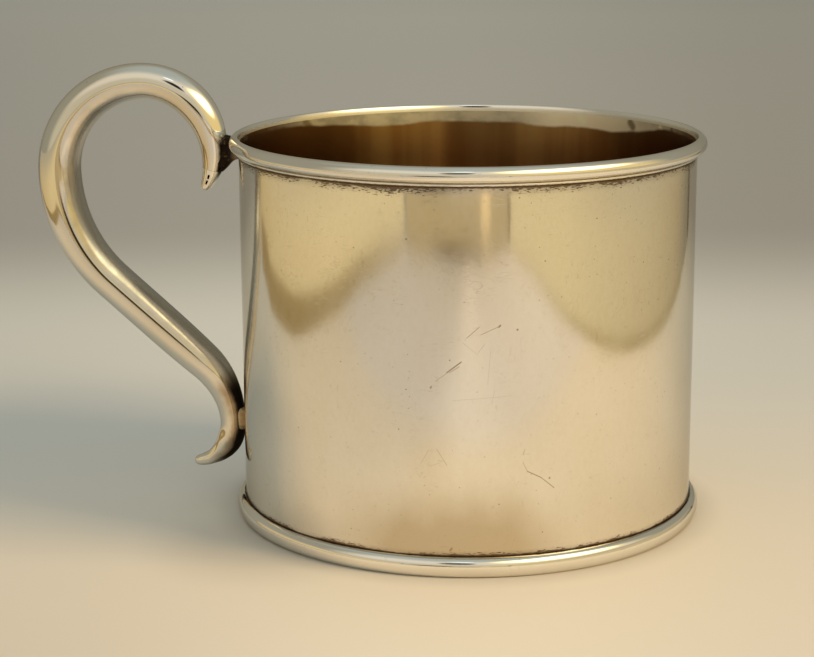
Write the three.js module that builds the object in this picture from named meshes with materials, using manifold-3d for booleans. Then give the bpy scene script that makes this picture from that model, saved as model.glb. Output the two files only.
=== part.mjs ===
// A small silver cup, in millimetres with +Z up.
// A straight drum stands in a half-round foot and is capped by a half-round rim. A hollow
// scroll handle in the XZ plane points along -X. It is soldered to a bracket under the rim
// and to a short peg low on the drum. The origin is the centre of the whole cup's footprint.
import * as THREE from "three";
import { mergeVertices } from "three/addons/utils/BufferGeometryUtils.js";
import Module from "manifold-3d";

const wasm = await Module();
wasm.setup();

// Drum and bottom
const cupHeight = 61.6;
const drumRadius = 36.45;
const drumWall = 0.7;
const bottomThickness = 0.8;
const bottomDome = 0.7;
const bottomClearance = 1.8; // under the edge of the bottom plate

// Rim moulding: a half-round wire with a fine bead under it
const rimProjection = 1.55; // from the drum out to the widest place
const rimCrestProjection = 0.3; // from the drum out to the crest
const rimHeight = 2.9;
const rimWidestDrop = 1.3; // from the crest down to the widest place
const rimLip = 1.1; // metal above the top edge of the drum
const beadRadius = 0.24;
const beadSeat = 0.15; // from the drum to the middle of the bead

// Foot moulding: a half-round wire with a flat sole
const footProjection = 1.35; // from the drum out to the widest place
const footToeProjection = 0.6; // from the drum out to the edge of the sole
const footHeight = 3.05;
const footWidestHeight = 1.6;
const footSole = 0.8; // metal under the bottom edge of the drum

// Handle centreline, from the lower joint up: bend, straight limb, flank, shoulder, crown
const lowerJointHeight = 12.2;
const upperJointDrop = 3.8; // below the crest of the rim
const lowerStandoff = 0.85; // clear distance from the drum to the handle
const upperStandoff = 1.45; // clear distance from the rim to the handle
const bendRadius = 14.1;
const flankRadius = 24.4;
const crownRadius = 11.4;
const limbSlope = THREE.MathUtils.degToRad(41.3);
const hookRadius = 7.4;
const hookTurn = THREE.MathUtils.degToRad(90);
const tailTurn = THREE.MathUtils.degToRad(34); // the crown's arc runs on past the upper joint

// Handle tube: outer radii along it, and its two ends
const hookTube = 2.15; // a little way down the hook
const lowerJointTube = 2.1;
const limbTube = 3.05;
const bellyTube = 3.5;
const crownTube = 2.9;
const neckTube = 2.75; // between the crown and the upper joint
const upperJointTube = 2.05;
const lowerEndTube = 1.2;
const upperEndTube = 1.6;
const hookPlace = 0.28; // share of the hook from the joint to the hook's radius above
const neckPlace = 0.62; // share of the crown's arc
const tubeWall = 0.55;
const lowerTipLength = 3.0;
const lowerTipRadius = 0.75;
const upperCapLength = 3.9;
const upperCapRadius = 0.7;
const upperCapWall = 0.5;
const spigotLength = 1.6;
const spigotClearance = 0.15;

// Vent slits in the upper cap, at their distances from the tube
const ventDepth = 3;
const ventWidth = 0.3;
const ventLength = 0.6;
const ventPlaces = [0.8, 1.8];

// Bracket and peg
const solderGap = 0.25;
const bracketWidth = 2.6;
const bracketTopDrop = 1.0; // below the crest of the rim
const bracketDrumDrop = 4.6;
const bracketToeDrop = 6.6;
const pegRadius = 1.65;

// Fineness of the facets
const roundSides = 72;
const tubeSides = 16;
const tubeStep = 1.7;
const arcSteps = 5;

// Sizes that follow from the ones above
const boreRadius = drumRadius - drumWall;
const drumTop = cupHeight - rimLip;
const rimRadius = drumRadius + rimProjection;
const rimCrestRadius = drumRadius + rimCrestProjection;
const footRadius = drumRadius + footProjection;
const footToeRadius = drumRadius + footToeProjection;
const rimBottom = cupHeight - rimHeight;
const rimWidest = cupHeight - rimWidestDrop;
const beadMiddle = drumRadius + beadSeat;
const beadTop = rimBottom + 2 * beadRadius;
const lowerJointReach = drumRadius + lowerStandoff + lowerJointTube;
const upperJointReach = rimRadius + upperStandoff + upperJointTube;
const upperJointHeight = cupHeight - upperJointDrop;

// The limb's length and the shoulder's radius are what the two joints leave over
const bends = bendRadius + flankRadius;
const jointRun = upperJointReach - lowerJointReach;
const jointRise = upperJointHeight - lowerJointHeight;
const sine = Math.sin(limbSlope);
const cosine = Math.cos(limbSlope);
const limbLength = (jointRun + jointRise + 2 * crownRadius - bends * (1 - sine + cosine)) / (sine + cosine);
const shoulderRadius = limbLength * cosine - jointRun - crownRadius + bends * (1 - sine);
const handleReach = upperJointReach + crownRadius + shoulderRadius + bellyTube;
const axisX = (handleReach - rimRadius) / 2;

// Arcs of the centreline in order: length, and turn to the left (a straight has no turn)
const quarter = Math.PI / 2;
const rise = quarter - limbSlope;
const centreline = [
  { length: bendRadius * rise, turn: -rise },
  { length: limbLength, turn: 0 },
  { length: flankRadius * rise, turn: rise },
  { length: shoulderRadius * quarter, turn: quarter },
  { length: crownRadius * quarter, turn: quarter },
  { length: crownRadius * tailTurn, turn: tailTurn },
];
const hook = [{ length: hookRadius * hookTurn, turn: hookTurn }];

const joinLength = (arcs) => arcs.reduce((sum, arc) => sum + arc.length, 0);
const hookEnd = -joinLength(hook);
const tailEnd = joinLength(centreline);
const upperJointAt = tailEnd - crownRadius * tailTurn;
const bellyAt = upperJointAt - (crownRadius + shoulderRadius) * quarter;
const crownAt = upperJointAt - crownRadius * quarter;
const neckAt = crownAt + neckPlace * crownRadius * quarter;
const hookTubeAt = hookPlace * hookEnd;
const lowerEndAt = hookEnd + lowerTipLength;
const upperEndAt = tailEnd - upperCapLength;

// A point of the centreline and its heading, at a length along it from the lower joint.
// Reach is the distance from the cup's axis, and the walk goes up, or down along the hook.
function walk(distance) {
  const down = distance < 0;
  let heading = down ? -quarter : quarter;
  let reach = lowerJointReach;
  let height = lowerJointHeight;
  let left = Math.abs(distance);
  for (const arc of down ? hook : centreline) {
    const length = Math.min(left, arc.length);
    const turn = arc.turn * (length / arc.length);
    const chord = turn === 0 ? length : (2 * length * Math.sin(turn / 2)) / turn;
    reach += chord * Math.cos(heading + turn / 2);
    height += chord * Math.sin(heading + turn / 2);
    heading += turn;
    left -= length;
  }
  return { reach, height, heading: down ? heading + Math.PI : heading };
}

// Outer radius of the tube along it, as a smooth curve through the named radii
const tubeOutline = new THREE.SplineCurve([
  new THREE.Vector2(lowerEndAt, lowerEndTube),
  new THREE.Vector2(hookTubeAt, hookTube),
  new THREE.Vector2(0, lowerJointTube),
  new THREE.Vector2(bendRadius * rise, limbTube),
  new THREE.Vector2(bellyAt, bellyTube),
  new THREE.Vector2(crownAt, crownTube),
  new THREE.Vector2(neckAt, neckTube),
  new THREE.Vector2(upperJointAt, upperJointTube),
  new THREE.Vector2(upperEndAt, upperEndTube),
]);

// A ring or disc turned about the cup's axis from a closed outline of radius and height
function turned(outline) {
  const geometry = new THREE.LatheGeometry(outline, roundSides);
  geometry.rotateX(quarter);
  geometry.translate(axisX, 0, 0);
  return geometry;
}

// A straight blank, turned from an outline of radius and length, bent along the centreline
function bent(outline) {
  const geometry = new THREE.LatheGeometry(outline, tubeSides);
  const place = geometry.attributes.position;
  for (let i = 0; i < place.count; i += 1) {
    const { reach, height, heading } = walk(place.getY(i));
    const aside = place.getX(i);
    const x = axisX - reach + aside * Math.sin(heading);
    const z = height + aside * Math.cos(heading);
    place.setXYZ(i, x, -place.getZ(i), z);
  }
  return geometry;
}

// Closed outline: the outer points in order, then the inner ones back to the start
function closed(points) {
  return [...points, points[0].clone()];
}

const at = (radius, height) => new THREE.Vector2(radius, height);

function quarterArc(x, y, halfWidth, halfHeight, from, to) {
  return new THREE.EllipseCurve(x, y, halfWidth, halfHeight, from, to, to < from).getPoints(arcSteps);
}

function solid(geometry) {
  const bare = geometry.clone();
  bare.deleteAttribute("normal");
  bare.deleteAttribute("uv");
  const merged = mergeVertices(bare, 1e-5);
  const vertProperties = new Float32Array(merged.attributes.position.array);
  const triVerts = new Uint32Array(merged.index.array);
  return new wasm.Manifold(new wasm.Mesh({ numProp: 3, vertProperties, triVerts }));
}

function surface(body) {
  const mesh = body.getMesh();
  const geometry = new THREE.BufferGeometry();
  geometry.setAttribute("position", new THREE.BufferAttribute(mesh.vertProperties, 3));
  geometry.setIndex(new THREE.BufferAttribute(mesh.triVerts, 1));
  geometry.computeVertexNormals();
  return geometry;
}

// The drum: an open cylinder that stands in the foot and ends inside the rim
function drum() {
  return turned(
    closed([at(boreRadius, footSole), at(drumRadius, footSole), at(drumRadius, drumTop), at(boreRadius, drumTop)]),
  );
}

// The bottom: a plate let into the drum, its middle pushed up in a shallow dome
function bottom() {
  const dome = new THREE.QuadraticBezierCurve(at(0, bottomDome), at(boreRadius / 2, bottomDome), at(boreRadius, 0));
  const under = dome.getPoints(arcSteps).map((p) => at(p.x, p.y + bottomClearance));
  const over = under.map((p) => at(p.x, p.y + bottomThickness)).reverse();
  return turned([...under, ...over]);
}

// The rim's half-round, from the bead up over the crest and down to the bore, grown by a margin
function rimRound(margin = 0) {
  const top = cupHeight + margin;
  const low = rimWidest - beadTop + margin;
  return [
    ...quarterArc(beadMiddle, rimWidest, rimRadius + margin - beadMiddle, low, -quarter, 0),
    ...quarterArc(rimCrestRadius, rimWidest, rimRadius + margin - rimCrestRadius, top - rimWidest, 0, quarter).slice(1),
    ...quarterArc(rimCrestRadius, drumTop, rimCrestRadius - boreRadius, top - drumTop, quarter, 2 * quarter).slice(1),
  ];
}

function rim() {
  const bead = quarterArc(beadMiddle, beadTop - beadRadius, beadRadius, beadRadius, -quarter, quarter);
  return turned(closed([at(drumRadius, rimBottom), ...bead, ...rimRound().slice(1), at(drumRadius, drumTop)]));
}

// The foot: half-round outside, a flat sole, and a rebate that takes the drum
function foot() {
  const soleWidth = footRadius - footToeRadius;
  return turned(
    closed([
      at(boreRadius, 0),
      ...quarterArc(footToeRadius, footWidestHeight, soleWidth, footWidestHeight, -quarter, 0),
      ...quarterArc(
        drumRadius, footWidestHeight, footRadius - drumRadius, footHeight - footWidestHeight, 0, quarter,
      ).slice(1),
      at(drumRadius, footSole),
      at(boreRadius, footSole),
    ]),
  );
}

// The tube's outline from its lower to its upper end, as points of radius and length
function tubeProfile(margin) {
  const steps = Math.round((upperEndAt - lowerEndAt) / tubeStep);
  return tubeOutline.getSpacedPoints(steps).map((p) => at(p.y + margin, p.x));
}

function tube() {
  const inner = tubeProfile(-tubeWall).reverse();
  return bent(closed([...tubeProfile(0), ...inner]));
}

// The handle filled solid and grown by the solder gap, for cutting what is soldered to it
function handleCutter() {
  const cap = at(upperCapRadius + solderGap, tailEnd);
  return solid(bent([at(0, lowerEndAt), ...tubeProfile(solderGap), cap, at(0, tailEnd)]));
}

// The lower tip: a solid blunt point with a spigot that plugs the tube
function lowerTip() {
  const spigot = lowerEndTube - tubeWall - spigotClearance;
  const point = new THREE.QuadraticBezierCurve(
    at(lowerTipRadius, hookEnd + lowerTipRadius),
    at(lowerTipRadius, hookEnd),
    at(0, hookEnd),
  );
  return bent([
    ...point.getPoints(arcSteps).reverse(),
    at(lowerEndTube, lowerEndAt),
    at(spigot, lowerEndAt),
    at(spigot, lowerEndAt + spigotLength),
    at(0, lowerEndAt + spigotLength),
  ]);
}

// The upper cap: a hollow point with a hollow spigot, and two slits that vent the tube
function upperCap() {
  const spigot = upperEndTube - tubeWall - spigotClearance;
  const bore = spigot - upperCapWall;
  const cap = solid(
    bent([
      at(0, tailEnd - upperCapWall),
      at(bore, tailEnd - 2 * upperCapWall),
      at(bore, upperEndAt - spigotLength),
      at(spigot, upperEndAt - spigotLength),
      at(spigot, upperEndAt),
      at(upperEndTube, upperEndAt),
      at(upperCapRadius, tailEnd - upperCapRadius / 2),
      at(upperCapRadius / 2, tailEnd),
      at(0, tailEnd),
    ]),
  );
  const slits = ventPlaces.map((place) => {
    const { reach, height, heading } = walk(upperEndAt + place);
    const slit = new THREE.BoxGeometry(ventWidth, ventDepth, ventLength);
    slit.rotateY(heading + quarter);
    slit.translate(axisX - reach, -ventDepth / 2, height);
    return solid(slit);
  });
  return surface(slits.reduce((body, slit) => body.subtract(slit), cap));
}

// A solid round pillar about the cup's axis, for cutting
function pillar(radius, low, high) {
  return solid(turned([at(0, low), at(radius, low), at(radius, high), at(0, high)]));
}

// The bracket: a web between the rim, the drum and the handle, cut clear of all three
function bracket() {
  const outline = new THREE.Shape([
    at(axisX - boreRadius, cupHeight - bracketTopDrop),
    at(axisX - upperJointReach, cupHeight - bracketTopDrop),
    at(axisX - upperJointReach, cupHeight - bracketToeDrop),
    at(axisX - drumRadius, cupHeight - bracketDrumDrop),
    at(axisX - boreRadius, cupHeight - bracketDrumDrop),
  ]);
  const web = new THREE.ExtrudeGeometry(outline, { depth: bracketWidth, bevelEnabled: false });
  web.rotateX(quarter);
  web.translate(0, bracketWidth / 2, 0);
  const rimCutter = solid(turned([at(0, beadTop - solderGap), ...rimRound(solderGap), at(0, drumTop)]));
  return surface(
    solid(web)
      .subtract(pillar(drumRadius + solderGap, 0, cupHeight))
      .subtract(pillar(beadMiddle + beadRadius + solderGap, rimBottom - solderGap, rimWidest))
      .subtract(rimCutter)
      .subtract(handleCutter()),
  );
}

// The peg: a round stub between the drum and the handle, hollowed to fit both
function peg() {
  const length = lowerJointReach - boreRadius;
  const stub = new THREE.CylinderGeometry(pegRadius, pegRadius, length, tubeSides);
  stub.rotateZ(quarter);
  stub.translate(axisX - boreRadius - length / 2, 0, lowerJointHeight);
  return surface(solid(stub).subtract(pillar(drumRadius + solderGap, 0, cupHeight)).subtract(handleCutter()));
}

const silver = { color: 0xcfc3a8, roughness: 0.16, metalness: 1 };
const solder = { color: 0x5b5040, roughness: 0.5, metalness: 1 };

const pieces = [
  ["body_wall", drum(), silver],
  ["bottom_plate", bottom(), silver],
  ["rim_moulding", rim(), silver],
  ["foot_moulding", foot(), silver],
  ["handle_tube", tube(), silver],
  ["handle_upper_cap", upperCap(), silver],
  ["handle_lower_tip", lowerTip(), silver],
  ["rim_bracket", bracket(), solder],
  ["lower_peg", peg(), solder],
];

const group = new THREE.Group();
for (const [name, geometry, look] of pieces) {
  const mesh = new THREE.Mesh(geometry, new THREE.MeshStandardMaterial(look));
  mesh.name = name;
  group.add(mesh);
}

export default group;
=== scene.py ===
import math

import bpy
import numpy as np
from mathutils import Matrix, Vector


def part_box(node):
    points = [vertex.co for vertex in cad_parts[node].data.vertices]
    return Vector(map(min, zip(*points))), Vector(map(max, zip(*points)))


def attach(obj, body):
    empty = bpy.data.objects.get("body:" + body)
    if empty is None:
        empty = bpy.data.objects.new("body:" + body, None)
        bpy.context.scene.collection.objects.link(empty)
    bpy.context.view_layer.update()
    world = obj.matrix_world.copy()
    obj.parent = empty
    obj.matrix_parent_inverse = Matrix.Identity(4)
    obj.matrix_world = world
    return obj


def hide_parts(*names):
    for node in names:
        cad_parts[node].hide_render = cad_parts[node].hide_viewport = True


# A small silver cup: a plain drum between two half-round mouldings, with a hollow scroll handle.
# Lengths are in metres. The drum's axis, radii and heights come from the frame's own boxes.
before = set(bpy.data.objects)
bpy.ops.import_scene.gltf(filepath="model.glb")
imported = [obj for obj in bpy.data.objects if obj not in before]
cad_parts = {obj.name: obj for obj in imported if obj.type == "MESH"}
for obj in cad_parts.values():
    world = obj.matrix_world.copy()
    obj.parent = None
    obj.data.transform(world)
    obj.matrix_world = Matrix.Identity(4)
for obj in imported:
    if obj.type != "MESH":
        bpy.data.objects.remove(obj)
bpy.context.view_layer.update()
print("frame loaded:", len(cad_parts), "CAD nodes")

mm = 0.001
quarterTurn = math.pi / 2
fullTurn = 2 * math.pi


# The low and high corners of a CAD node's box
def nodeBox(node):
    low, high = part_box(node)
    return np.array(low), np.array(high)


drumLow, drumHigh = nodeBox("body_wall")
rimLow, rimHigh = nodeBox("rim_moulding")
footLow, footHigh = nodeBox("foot_moulding")
plateLow, plateHigh = nodeBox("bottom_plate")
cup = {
    "axis": (rimLow[0] + rimHigh[0]) / 2,  # the drum's axis stands at this x, at y 0
    "height": rimHigh[2],
    "drumRadius": (drumHigh[1] - drumLow[1]) / 2,
    "boreRadius": (plateHigh[1] - plateLow[1]) / 2,
    "drumBottom": drumLow[2],
    "drumTop": drumHigh[2],
    "rimRadius": (rimHigh[1] - rimLow[1]) / 2,
    "rimBottom": rimLow[2],
    "footRadius": (footHigh[1] - footLow[1]) / 2,
    "footHeight": footHigh[2],
}


# Rings of points become quads: point j of ring i is joined to point j+1 and to ring i+1.
# Each ring is closed. The rings close on themselves with loop, and otherwise a fan closes each end.
# The face order is turned round if the volume, the sum of a.(b x c)/6 over the triangles, is negative.
def ringMesh(name, rings, loop=False, along=None, girth=None):
    ringCount, sides = rings.shape[:2]
    index = np.arange(ringCount * sides).reshape(ringCount, sides)
    rows = np.vstack([index, index[:1]]) if loop else index
    low, high = rows[:-1], rows[1:]
    quads = np.stack([low, np.roll(low, -1, 1), np.roll(high, -1, 1), high], -1).reshape(-1, 4)
    points = rings.reshape(-1, 3)
    fans = np.zeros((0, 3), int)
    if not loop:
        ends = np.stack([rings[0].mean(0), rings[-1].mean(0)])
        points = np.vstack([points, ends])
        first, last = index[0], index[-1]
        startFan = np.stack([np.full(sides, len(points) - 2), np.roll(first, -1), first], -1)
        endFan = np.stack([np.full(sides, len(points) - 1), last, np.roll(last, -1)], -1)
        fans = np.vstack([startFan, endFan])
    corners = np.vstack([quads[:, [0, 1, 2]], quads[:, [0, 2, 3]], fans])
    a, b, c = (points[corners[:, k]] for k in range(3))
    if np.einsum("ij,ij->i", a, np.cross(b, c)).sum() < 0:
        quads, fans = quads[:, ::-1], fans[:, ::-1]
    mesh = bpy.data.meshes.new(name)
    mesh.vertices.add(len(points))
    mesh.vertices.foreach_set("co", points.astype(np.float32).ravel())
    loops = np.concatenate([quads.ravel(), fans.ravel()])
    mesh.loops.add(len(loops))
    mesh.loops.foreach_set("vertex_index", loops.astype(np.int32))
    starts = np.concatenate([np.arange(len(quads)) * 4, len(quads) * 4 + np.arange(len(fans)) * 3])
    mesh.polygons.add(len(starts))
    mesh.polygons.foreach_set("loop_start", starts.astype(np.int32))
    mesh.update(calc_edges=True)
    if along is not None:
        lengths = np.append(np.repeat(along, sides), [along[0], along[-1]])
        turns = np.append(np.tile(np.arange(sides) / sides, ringCount), [0, 0])
        uv = np.stack([turns[loops], lengths[loops]], -1)
        faceTurns = uv[: len(quads) * 4, 0].reshape(-1, 4)
        faceTurns[(faceTurns.max(1) - faceTurns.min(1) > 0.5)[:, None] & (faceTurns < 0.5)] += 1
        uv[:, 0] *= girth
        layer = mesh.uv_layers.new(name="surface")
        layer.data.foreach_set("uv", uv.astype(np.float32).ravel())
    mesh.shade_smooth()
    mesh.set_sharp_from_angle(angle=math.radians(38))
    piece = bpy.data.objects.new(name, mesh)
    bpy.context.scene.collection.objects.link(piece)
    return piece


# An outline of radius and height turned about the drum's axis:
# x = axis + radius cos(angle), y = radius sin(angle), z = height.
# shape(radius, height, angle) may move each point a little and returns the new radius and height.
def turnedPiece(name, outline, sides, loop=True, shape=None):
    angle = np.arange(sides) / sides * fullTurn
    radius, height, angle = np.broadcast_arrays(outline[:, :1], outline[:, 1:], angle[None, :])
    if shape:
        radius, height = shape(radius, height, angle)
    x = cup["axis"] + radius * np.cos(angle)
    y = radius * np.sin(angle)
    rings = np.stack([x, y, height], -1)
    steps = np.hypot(*np.diff(outline, axis=0, prepend=outline[:1]).T)
    return ringMesh(name, rings, loop, np.cumsum(steps), fullTurn * cup["drumRadius"])


# Part of an ellipse about (x, y) with half axes a and b: x + a cos(t), y + b sin(t)
def ellipseArc(x, y, a, b, start, end, count):
    t = np.linspace(start, end, count)
    return np.stack([x + a * np.cos(t), y + b * np.sin(t)], -1)


# A straight run of points: start + share (end - start), with the share from 0 to 1
def straight(start, end, count):
    return np.linspace(start, end, count)


# A smooth curve through (xs, ys): on each span the cubic that has the slopes of the points' neighbours
def smoothThrough(x, xs, ys):
    xs, ys = np.array(xs), np.array(ys)
    slopes = np.gradient(ys, xs)
    i = np.clip(np.searchsorted(xs, x) - 1, 0, len(xs) - 2)
    span = xs[i + 1] - xs[i]
    u = np.clip((x - xs[i]) / span, 0, 1)
    return (
        (1 + 2 * u) * (1 - u) ** 2 * ys[i]
        + u * (1 - u) ** 2 * span * slopes[i]
        + u * u * (3 - 2 * u) * ys[i + 1]
        + u * u * (u - 1) * span * slopes[i + 1]
    )


# 0 below low, 1 above high, and 3u^2 - 2u^3 between them
def smoothStep(x, low, high):
    u = np.clip((x - low) / (high - low), 0, 1)
    return u * u * (3 - 2 * u)


# The mean of sin(lobe angle + phase) sin(2 pi rise z / scale + tilt) over the lobes, times the height.
# Each lobe is a whole number of waves round the cup, so that the ripple closes on itself.
def ripple(seed, height, lobes, scale):
    rng = np.random.default_rng(seed)

    def waves(angle, z):
        total = np.zeros(np.broadcast(angle, z).shape)
        for lobe in lobes:
            phase, tilt, rise = rng.uniform(0, fullTurn), rng.uniform(0, fullTurn), rng.uniform(0.6, 1.4)
            total = total + np.sin(lobe * angle + phase) * np.sin(z / scale * rise * fullTurn + tilt)
        return total * height / len(lobes)

    return waves


# The drum: a straight tube of sheet with a faint hammered unevenness, its bore opened out at the top
drum = {
    "sides": 420,
    "uneven": 0.035 * mm,
    "unevenLobes": (3, 5, 8, 13, 17),
    "unevenHeight": 38 * mm,
    "flareDepth": 8 * mm,  # below the drum's top edge, where the bore begins to open
    "flareOut": 0.55 * mm,
    "freeFrom": 6 * mm,  # the unevenness fades out this near to both moulded edges
}


# Radius + waves + flareOut share^2 on the bore, where the share rises from 0 to 1 over the flare's depth
def buildDrum():
    outer, bore = cup["drumRadius"], cup["boreRadius"]
    bottom, top = cup["drumBottom"], cup["drumTop"]
    outline = np.vstack(
        [
            straight((outer, bottom), (outer, top), 122),
            straight((outer, top), (bore, top), 4)[1:-1],
            straight((bore, top), (bore, bottom), 104),
            straight((bore, bottom), (outer, bottom), 4)[1:-1],
        ]
    )
    waves = ripple(3, drum["uneven"], drum["unevenLobes"], drum["unevenHeight"])

    def shape(radius, height, angle):
        edge = drum["freeFrom"]
        free = smoothStep(height, bottom, bottom + edge) * smoothStep(-height, -top, edge - top)
        inward = np.clip((outer - radius) / (outer - bore), 0, 1)
        begin = top - drum["flareDepth"]
        flare = drum["flareOut"] * np.clip((height - begin) / (top - begin), 0, 1) ** 2
        return radius + waves(angle, height) * free + flare * inward, height

    piece = turnedPiece("drumWall", outline, drum["sides"], shape=shape)
    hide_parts("body_wall")
    return piece


# The bottom: a plate let into the drum and pushed up in a shallow dome
plate = {"thickness": 0.8 * mm, "dome": 0.7 * mm, "roundness": 1.5, "sides": 180, "rings": 60}
pinhole = 0.02 * mm  # the radius at which a closed end's last ring stands


# Height = dome (1 - (r / R)^2)^roundness
def buildBottom():
    radius = np.linspace(pinhole, cup["boreRadius"], plate["rings"])
    dome = plate["dome"] * (1 - (radius / cup["boreRadius"]) ** 2) ** plate["roundness"]
    under = np.stack([radius, plateLow[2] + dome], -1)
    over = np.stack([radius[::-1], plateLow[2] + dome[::-1] + plate["thickness"]], -1)
    piece = turnedPiece("bottomPlate", np.vstack([under, over]), plate["sides"], loop=False)
    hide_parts("bottom_plate")
    return piece


# The rim: a half-round wire, a fine bead under it, and a lip that rolls into the bore
rim = {
    "crestRadius": cup["drumRadius"] + 0.3 * mm,
    "widestDrop": 1.3 * mm,
    "beadRadius": 0.24 * mm,
    "beadSeat": 0.15 * mm,
    "lipDrop": 0.9 * mm,  # how far below the drum's top edge the lip's curve has its centre
    "sides": 480,
    "uneven": 0.03 * mm,
    "unevenLobes": (4, 7, 11, 19, 31),
}
wireWave = 20 * mm  # the height of one wave of both mouldings' unevenness


# The outline goes up over the bead, the under side and the outside to the crest, and down over the lip
def buildRim():
    top, bottomEdge = cup["height"], cup["rimBottom"]
    widest = top - rim["widestDrop"]
    bead = cup["drumRadius"] + rim["beadSeat"]
    beadTop = bottomEdge + 2 * rim["beadRadius"]
    crest, reach, bore = rim["crestRadius"], cup["rimRadius"], cup["boreRadius"] + drum["flareOut"]
    seat = cup["drumRadius"]
    beadRadius = rim["beadRadius"]
    beadArc = ellipseArc(bead, beadTop - beadRadius, beadRadius, beadRadius, -quarterTurn, quarterTurn, 26)
    underArc = ellipseArc(bead, widest, reach - bead, widest - beadTop, -quarterTurn, 0, 26)
    outerArc = ellipseArc(crest, widest, reach - crest, top - widest, 0, quarterTurn, 30)
    centre = cup["drumTop"] - rim["lipDrop"]
    lipEnd = math.asin(rim["lipDrop"] / (top - centre))
    lipArc = ellipseArc(crest, centre, (crest - bore) / math.cos(lipEnd), top - centre, quarterTurn,
                        math.pi - lipEnd, 30)
    outline = np.vstack(
        [
            straight((seat, bottomEdge), (bead, bottomEdge), 3)[:-1],
            beadArc,
            underArc[1:],
            outerArc[1:],
            lipArc[1:],
            straight((bore, cup["drumTop"]), (seat, cup["drumTop"]), 5)[1:],
            straight((seat, cup["drumTop"]), (seat, bottomEdge), 8)[1:-1],
        ]
    )
    waves = ripple(5, rim["uneven"], rim["unevenLobes"], wireWave)

    def shape(radius, height, angle):
        free = smoothStep(radius, seat + 0.1 * mm, seat + 1.0 * mm)
        return radius + waves(angle, height) * free, height + waves(angle + 1, height) * free * 0.6

    piece = turnedPiece("rimMoulding", outline, rim["sides"], shape=shape)
    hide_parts("rim_moulding")
    return piece


# The foot: a half-round wire with a flat sole, rebated for the drum
foot = {
    "toeRadius": cup["drumRadius"] + 0.6 * mm,
    "widestHeight": 1.6 * mm,
    "sides": 480,
    "uneven": 0.03 * mm,
    "unevenLobes": (3, 6, 10, 17, 29),
}


# The outline goes out along the sole, up over the widest line to the drum, and back down the rebate
def buildFoot():
    seat, bore, reach = cup["drumRadius"], cup["boreRadius"], cup["footRadius"]
    toe, widest, top = foot["toeRadius"], foot["widestHeight"], cup["footHeight"]
    outline = np.vstack(
        [
            straight((bore, 0), (toe, 0), 8)[:-1],
            ellipseArc(toe, widest, reach - toe, widest, -quarterTurn, 0, 30),
            ellipseArc(seat, widest, reach - seat, top - widest, 0, quarterTurn, 34)[1:],
            straight((seat, top), (seat, cup["drumBottom"]), 10)[1:],
            straight((seat, cup["drumBottom"]), (bore, cup["drumBottom"]), 4)[1:],
            straight((bore, cup["drumBottom"]), (bore, 0), 4)[1:-1],
        ]
    )
    waves = ripple(11, foot["uneven"], foot["unevenLobes"], wireWave)

    def shape(radius, height, angle):
        free = smoothStep(radius, seat + 0.1 * mm, seat + 0.9 * mm) * smoothStep(height, 0, 1 * mm)
        return radius + waves(angle, height) * free, height + waves(angle + 2, height) * free * 0.5

    piece = turnedPiece("footMoulding", outline, foot["sides"], shape=shape)
    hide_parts("foot_moulding")
    return piece


# The handle: a hollow tapering tube in the XZ plane. Lengths along it are counted from the lower joint.
handle = {
    "lowerJointHeight": 12.2 * mm,
    "upperJointHeight": cup["height"] - 3.8 * mm,
    "lowerStandoff": 0.85 * mm,
    "upperStandoff": 1.45 * mm,
    "bendRadius": 14.1 * mm,
    "flankRadius": 24.4 * mm,
    "crownRadius": 11.4 * mm,
    "limbSlope": math.radians(41.3),
    "hookRadius": 6.75 * mm,
    "hookTurn": math.radians(90),
    "tailTurn": math.radians(34),
    "lowerTube": 2.1 * mm,
    "hookTube": 2.15 * mm,  # a little way down the hook
    "hookShare": 0.28,  # how far down the hook that is
    "limbTube": 3.05 * mm,
    "flankTube": 3.31 * mm,  # at the limb's upper end
    "bellyTube": 3.5 * mm,
    "crownTube": 2.9 * mm,
    "neckTube": 2.75 * mm,
    "neckShare": 0.62,  # how far from the crown to the upper joint the neck is
    "upperTube": 2.05 * mm,
    "lowerEndTube": 1.2 * mm,
    "upperEndTube": 1.6 * mm,
    "wall": 0.55 * mm,
    "tipLength": 3.0 * mm,
    "tipRadius": 0.75 * mm,
    "tipTaper": 1.2,
    "tipBlunt": 9,  # a higher power gives a blunter end
    "capLength": 3.9 * mm,
    "capRadius": 0.7 * mm,
    "capBlunt": 12,
    "sides": 96,
    "step": 0.35 * mm,
}
lowerReach = cup["drumRadius"] + handle["lowerStandoff"] + handle["lowerTube"]
upperReach = cup["rimRadius"] + handle["upperStandoff"] + handle["upperTube"]


# The arcs of the centreline as (length, turn) pairs, up from the lower joint and then down along the hook.
# The joints' places give two equations for the limb and for the shoulder's radius, solved here.
def handleArcs():
    h = handle
    run, climb = upperReach - lowerReach, h["upperJointHeight"] - h["lowerJointHeight"]
    bends = h["bendRadius"] + h["flankRadius"]
    sine, cosine = math.sin(h["limbSlope"]), math.cos(h["limbSlope"])
    limb = (run + climb + 2 * h["crownRadius"] - bends * (1 - sine + cosine)) / (sine + cosine)
    shoulder = limb * cosine - run - h["crownRadius"] + bends * (1 - sine)
    rise = quarterTurn - h["limbSlope"]
    up = [
        (h["bendRadius"] * rise, -rise),
        (limb, 0),
        (h["flankRadius"] * rise, rise),
        (shoulder * quarterTurn, quarterTurn),
        (h["crownRadius"] * quarterTurn, quarterTurn),
        (h["crownRadius"] * h["tailTurn"], h["tailTurn"]),
    ]
    return up, [(h["hookRadius"] * h["hookTurn"], h["hookTurn"])]


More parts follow.
